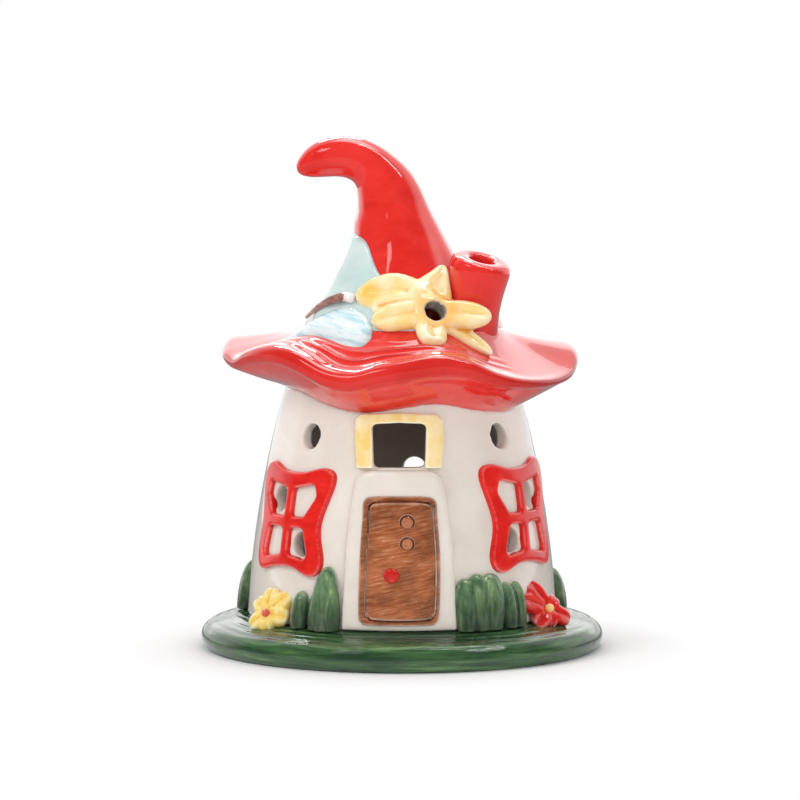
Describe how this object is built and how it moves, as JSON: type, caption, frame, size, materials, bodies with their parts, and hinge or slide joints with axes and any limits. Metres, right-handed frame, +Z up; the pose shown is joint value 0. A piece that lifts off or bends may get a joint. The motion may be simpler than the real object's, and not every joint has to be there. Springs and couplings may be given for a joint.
{
  "type": "ceramic house luminary",
  "caption": "Glazed ceramic cottage lantern under a curled hat, with pierced windows, a chimney and a rear doorway for a tealight that slides out.",
  "frame": {"origin": "centre of the plinth's footprint, on the plane of the foot ring", "axes": "+Z up, the front door faces -Y, +X to the right of the door as seen from the front"},
  "size_m": [0.121, 0.121, 0.1531],
  "materials": {
    "green_glaze": "glossy brushed dark green glaze",
    "white_glaze": "glossy warm white glaze",
    "red_glaze": "glossy signal red glaze",
    "brown_glaze": "glossy brown glaze with brush strokes",
    "yellow_glaze": "glossy pale yellow glaze",
    "blue_glaze": "glossy pale blue glaze",
    "orange_glaze": "glossy orange glaze",
    "cup": "bright drawn foil",
    "wax": "white paraffin wax",
    "wick": "waxed cotton"
  },
  "bodies": {
    "house": {"base_plinth": "green_glaze", "wall_shell": "white_glaze", "door_surround": "white_glaze", "door": "brown_glaze", "door_knob": "red_glaze", "door_stud_upper": "brown_glaze", "door_stud_lower": "brown_glaze", "attic_window_frame": "yellow_glaze", "left_window_frame": "red_glaze", "right_window_frame": "red_glaze", "hat_brim": "red_glaze", "hat_crown": "red_glaze", "hat_band": "blue_glaze", "chimney": "red_glaze", "flower": "yellow_glaze", "ribbon_bow": "blue_glaze", "twig": "brown_glaze", "left_leaf": "green_glaze", "left_sprout": "green_glaze", "right_bush": "green_glaze", "right_clump": "green_glaze", "far_left_leaf": "green_glaze", "far_right_leaf": "green_glaze", "yellow_ground_flower": "yellow_glaze", "yellow_ground_flower_eye": "red_glaze", "red_ground_flower": "red_glaze", "red_ground_flower_eye": "orange_glaze"},
    "tealight": {"tealight_cup": "cup", "tealight_wax": "wax", "tealight_wick_tab": "cup", "tealight_wick": "wick"}
  },
  "joints": [
    {"name": "tealight_slide", "type": "slide", "parent": "house", "child": "tealight", "axis": [0, 1, 0], "range_m": [0, 0.085]}
  ]
}
